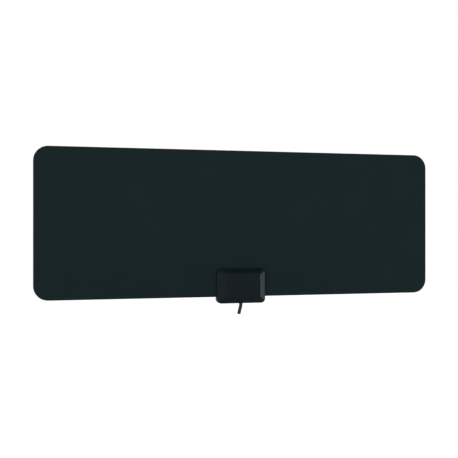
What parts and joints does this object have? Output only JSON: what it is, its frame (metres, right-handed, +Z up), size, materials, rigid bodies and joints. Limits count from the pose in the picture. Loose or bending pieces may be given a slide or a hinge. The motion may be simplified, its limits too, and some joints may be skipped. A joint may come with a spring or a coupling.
{
  "type": "flat indoor tv antenna",
  "caption": "Thin flat indoor TV antenna: a wide dark laminated sheet with rounded corners, foil arms inside, and a small balun housing on its lower edge with a short coaxial lead.",
  "frame": {"origin": "centre of the sheet's flat rear face, the face that is stuck to a wall or window", "axes": "+X along the sheet's long side, to the right as seen from the front; +Y out of the rear face, so the front faces -Y; +Z up, away from the housing"},
  "size_m": [0.3174, 0.011, 0.1279],
  "materials": {
    "film": "fine matte",
    "backing": "smooth matte",
    "foil": "rolled",
    "housing": "moulded, fine texture",
    "screws": "zinc plated",
    "board": "solder mask",
    "rivets": "tin plated",
    "ferrite": "sintered",
    "antenna_wire": "enamelled copper",
    "cable_wire": "enamelled copper",
    "jacket": "extruded, satin",
    "braid": "tinned copper braid",
    "insulator": "foamed",
    "conductor": "drawn copper",
    "ferrule": "nickel plated",
    "solder": "bright solder"
  },
  "bodies": {
    "root": {"front_film": "film", "backing_sheet": "backing", "left_element": "foil", "right_element": "foil", "housing_front": "housing", "rear_cover": "housing", "cover_screws": "screws", "balun_board": "board", "feed_rivets": "rivets", "balun_core": "ferrite", "antenna_winding": "antenna_wire", "cable_winding": "cable_wire", "cable_jacket": "jacket", "cable_braid": "braid", "cable_insulator": "insulator", "cable_core": "conductor", "crimp_ferrule": "ferrule", "solder_joints": "solder"}
  },
  "joints": []
}
